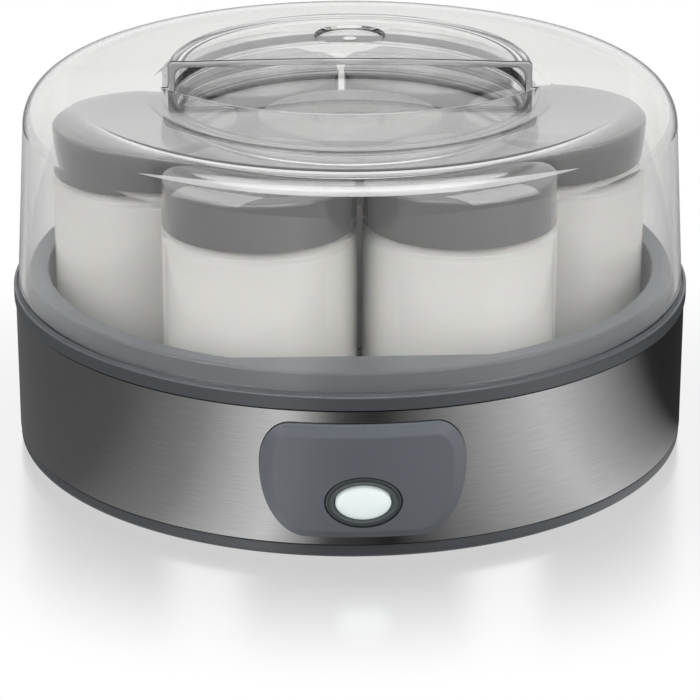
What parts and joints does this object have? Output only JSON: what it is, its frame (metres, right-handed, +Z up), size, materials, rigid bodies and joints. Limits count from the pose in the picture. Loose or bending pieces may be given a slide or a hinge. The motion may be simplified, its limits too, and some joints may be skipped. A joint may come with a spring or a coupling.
{
  "type": "yogurt maker",
  "caption": "Round electric yogurt maker: heated base with a steel band and a lit push button, glass jars with lids, and a clear lift-off cover with a finger grip.",
  "frame": {"origin": "on the table at the middle of the base, at the bottom of the part's box", "axes": "+Z up, the front panel and its button face -Y, +X to the right seen from the front"},
  "size_m": [0.242, 0.2464, 0.1382],
  "materials": {
    "blue_grey_plastic": "satin blue-grey",
    "brushed_steel": "horizontally brushed",
    "button_white": "translucent white, lit from behind",
    "dark_plastic": "matte",
    "heater_aluminium": "plain sheet",
    "heater_cord": "silicone sleeve",
    "ceramic_white": "plain",
    "board_green": "circuit board",
    "foot_rubber": "matte",
    "screw_steel": "plain",
    "jar_glass": "clear glass",
    "yogurt_white": "white yogurt, soft",
    "lid_grey": "glossy mid grey",
    "clear_plastic": "clear, slightly smoky plastic"
  },
  "bodies": {
    "base": {"base_shell": "blue_grey_plastic", "top_housing": "blue_grey_plastic", "front_panel": "blue_grey_plastic", "bezel_ring": "blue_grey_plastic", "steel_band": "brushed_steel", "cord_inlet": "dark_plastic", "heater_plate": "heater_aluminium", "heating_cord": "heater_cord", "thermostat": "dark_plastic", "thermal_fuse": "ceramic_white", "terminal_block": "ceramic_white", "switch_body": "dark_plastic", "lamp_board": "board_green", "indicator_lamp": "button_white", "foot_1": "foot_rubber", "screw_1": "screw_steel", "foot_2": "foot_rubber", "screw_2": "screw_steel", "foot_3": "foot_rubber", "screw_3": "screw_steel", "foot_4": "foot_rubber", "screw_4": "screw_steel"},
    "cover": {"cover_shell": "clear_plastic", "grip_cup": "clear_plastic"},
    "button": {"push_button": "button_white"},
    "jar_centre": {"jar_centre": "jar_glass", "yogurt_centre": "yogurt_white"},
    "lid_centre": {"lid_centre": "lid_grey"},
    "jar_front_right": {"jar_front_right": "jar_glass", "yogurt_front_right": "yogurt_white"},
    "lid_front_right": {"lid_front_right": "lid_grey"},
    "jar_right": {"jar_right": "jar_glass", "yogurt_right": "yogurt_white"},
    "lid_right": {"lid_right": "lid_grey"},
    "jar_rear_right": {"jar_rear_right": "jar_glass", "yogurt_rear_right": "yogurt_white"},
    "lid_rear_right": {"lid_rear_right": "lid_grey"},
    "jar_rear_left": {"jar_rear_left": "jar_glass", "yogurt_rear_left": "yogurt_white"},
    "lid_rear_left": {"lid_rear_left": "lid_grey"},
    "jar_left": {"jar_left": "jar_glass", "yogurt_left": "yogurt_white"},
    "lid_left": {"lid_left": "lid_grey"},
    "jar_front_left": {"jar_front_left": "jar_glass", "yogurt_front_left": "yogurt_white"},
    "lid_front_left": {"lid_front_left": "lid_grey"}
  },
  "joints": [
    {"name": "cover_lift", "type": "slide", "parent": "base", "child": "cover", "axis": [0, 0, 1], "range_m": [0, 0.25]},
    {"name": "button_press", "type": "slide", "parent": "base", "child": "button", "axis": [0, 1, 0], "range_m": [0, 0.002], "stiffness_N_per_m": 400},
    {"name": "jar_centre_lift", "type": "slide", "parent": "base", "child": "jar_centre", "axis": [0, 0, 1], "range_m": [0, 0.12]},
    {"name": "lid_centre_lift", "type": "slide", "parent": "jar_centre", "child": "lid_centre", "axis": [0, 0, 1], "range_m": [0, 0.03]},
    {"name": "jar_front_right_lift", "type": "slide", "parent": "base", "child": "jar_front_right", "axis": [0, 0, 1], "range_m": [0, 0.12]},
    {"name": "lid_front_right_lift", "type": "slide", "parent": "jar_front_right", "child": "lid_front_right", "axis": [0, 0, 1], "range_m": [0, 0.03]},
    {"name": "jar_right_lift", "type": "slide", "parent": "base", "child": "jar_right", "axis": [0, 0, 1], "range_m": [0, 0.12]},
    {"name": "lid_right_lift", "type": "slide", "parent": "jar_right", "child": "lid_right", "axis": [0, 0, 1], "range_m": [0, 0.03]},
    {"name": "jar_rear_right_lift", "type": "slide", "parent": "base", "child": "jar_rear_right", "axis": [0, 0, 1], "range_m": [0, 0.12]},
    {"name": "lid_rear_right_lift", "type": "slide", "parent": "jar_rear_right", "child": "lid_rear_right", "axis": [0, 0, 1], "range_m": [0, 0.03]},
    {"name": "jar_rear_left_lift", "type": "slide", "parent": "base", "child": "jar_rear_left", "axis": [0, 0, 1], "range_m": [0, 0.12]},
    {"name": "lid_rear_left_lift", "type": "slide", "parent": "jar_rear_left", "child": "lid_rear_left", "axis": [0, 0, 1], "range_m": [0, 0.03]},
    {"name": "jar_left_lift", "type": "slide", "parent": "base", "child": "jar_left", "axis": [0, 0, 1], "range_m": [0, 0.12]},
    {"name": "lid_left_lift", "type": "slide", "parent": "jar_left", "child": "lid_left", "axis": [0, 0, 1], "range_m": [0, 0.03]},
    {"name": "jar_front_left_lift", "type": "slide", "parent": "base", "child": "jar_front_left", "axis": [0, 0, 1], "range_m": [0, 0.12]},
    {"name": "lid_front_left_lift", "type": "slide", "parent": "jar_front_left", "child": "lid_front_left", "axis": [0, 0, 1], "range_m": [0, 0.03]}
  ],
  "couplings": [
    {"joint": "jar_centre_lift", "follows": "cover_lift", "ratio": 0.45},
    {"joint": "lid_centre_lift", "follows": "cover_lift", "ratio": 0.1},
    {"joint": "jar_front_right_lift", "follows": "cover_lift", "ratio": 0.45},
    {"joint": "lid_front_right_lift", "follows": "cover_lift", "ratio": 0.1},
    {"joint": "jar_right_lift", "follows": "cover_lift", "ratio": 0.45},
    {"joint": "lid_right_lift", "follows": "cover_lift", "ratio": 0.1},
    {"joint": "jar_rear_right_lift", "follows": "cover_lift", "ratio": 0.45},
    {"joint": "lid_rear_right_lift", "follows": "cover_lift", "ratio": 0.1},
    {"joint": "jar_rear_left_lift", "follows": "cover_lift", "ratio": 0.45},
    {"joint": "lid_rear_left_lift", "follows": "cover_lift", "ratio": 0.1},
    {"joint": "jar_left_lift", "follows": "cover_lift", "ratio": 0.45},
    {"joint": "lid_left_lift", "follows": "cover_lift", "ratio": 0.1},
    {"joint": "jar_front_left_lift", "follows": "cover_lift", "ratio": 0.45},
    {"joint": "lid_front_left_lift", "follows": "cover_lift", "ratio": 0.1}
  ]
}
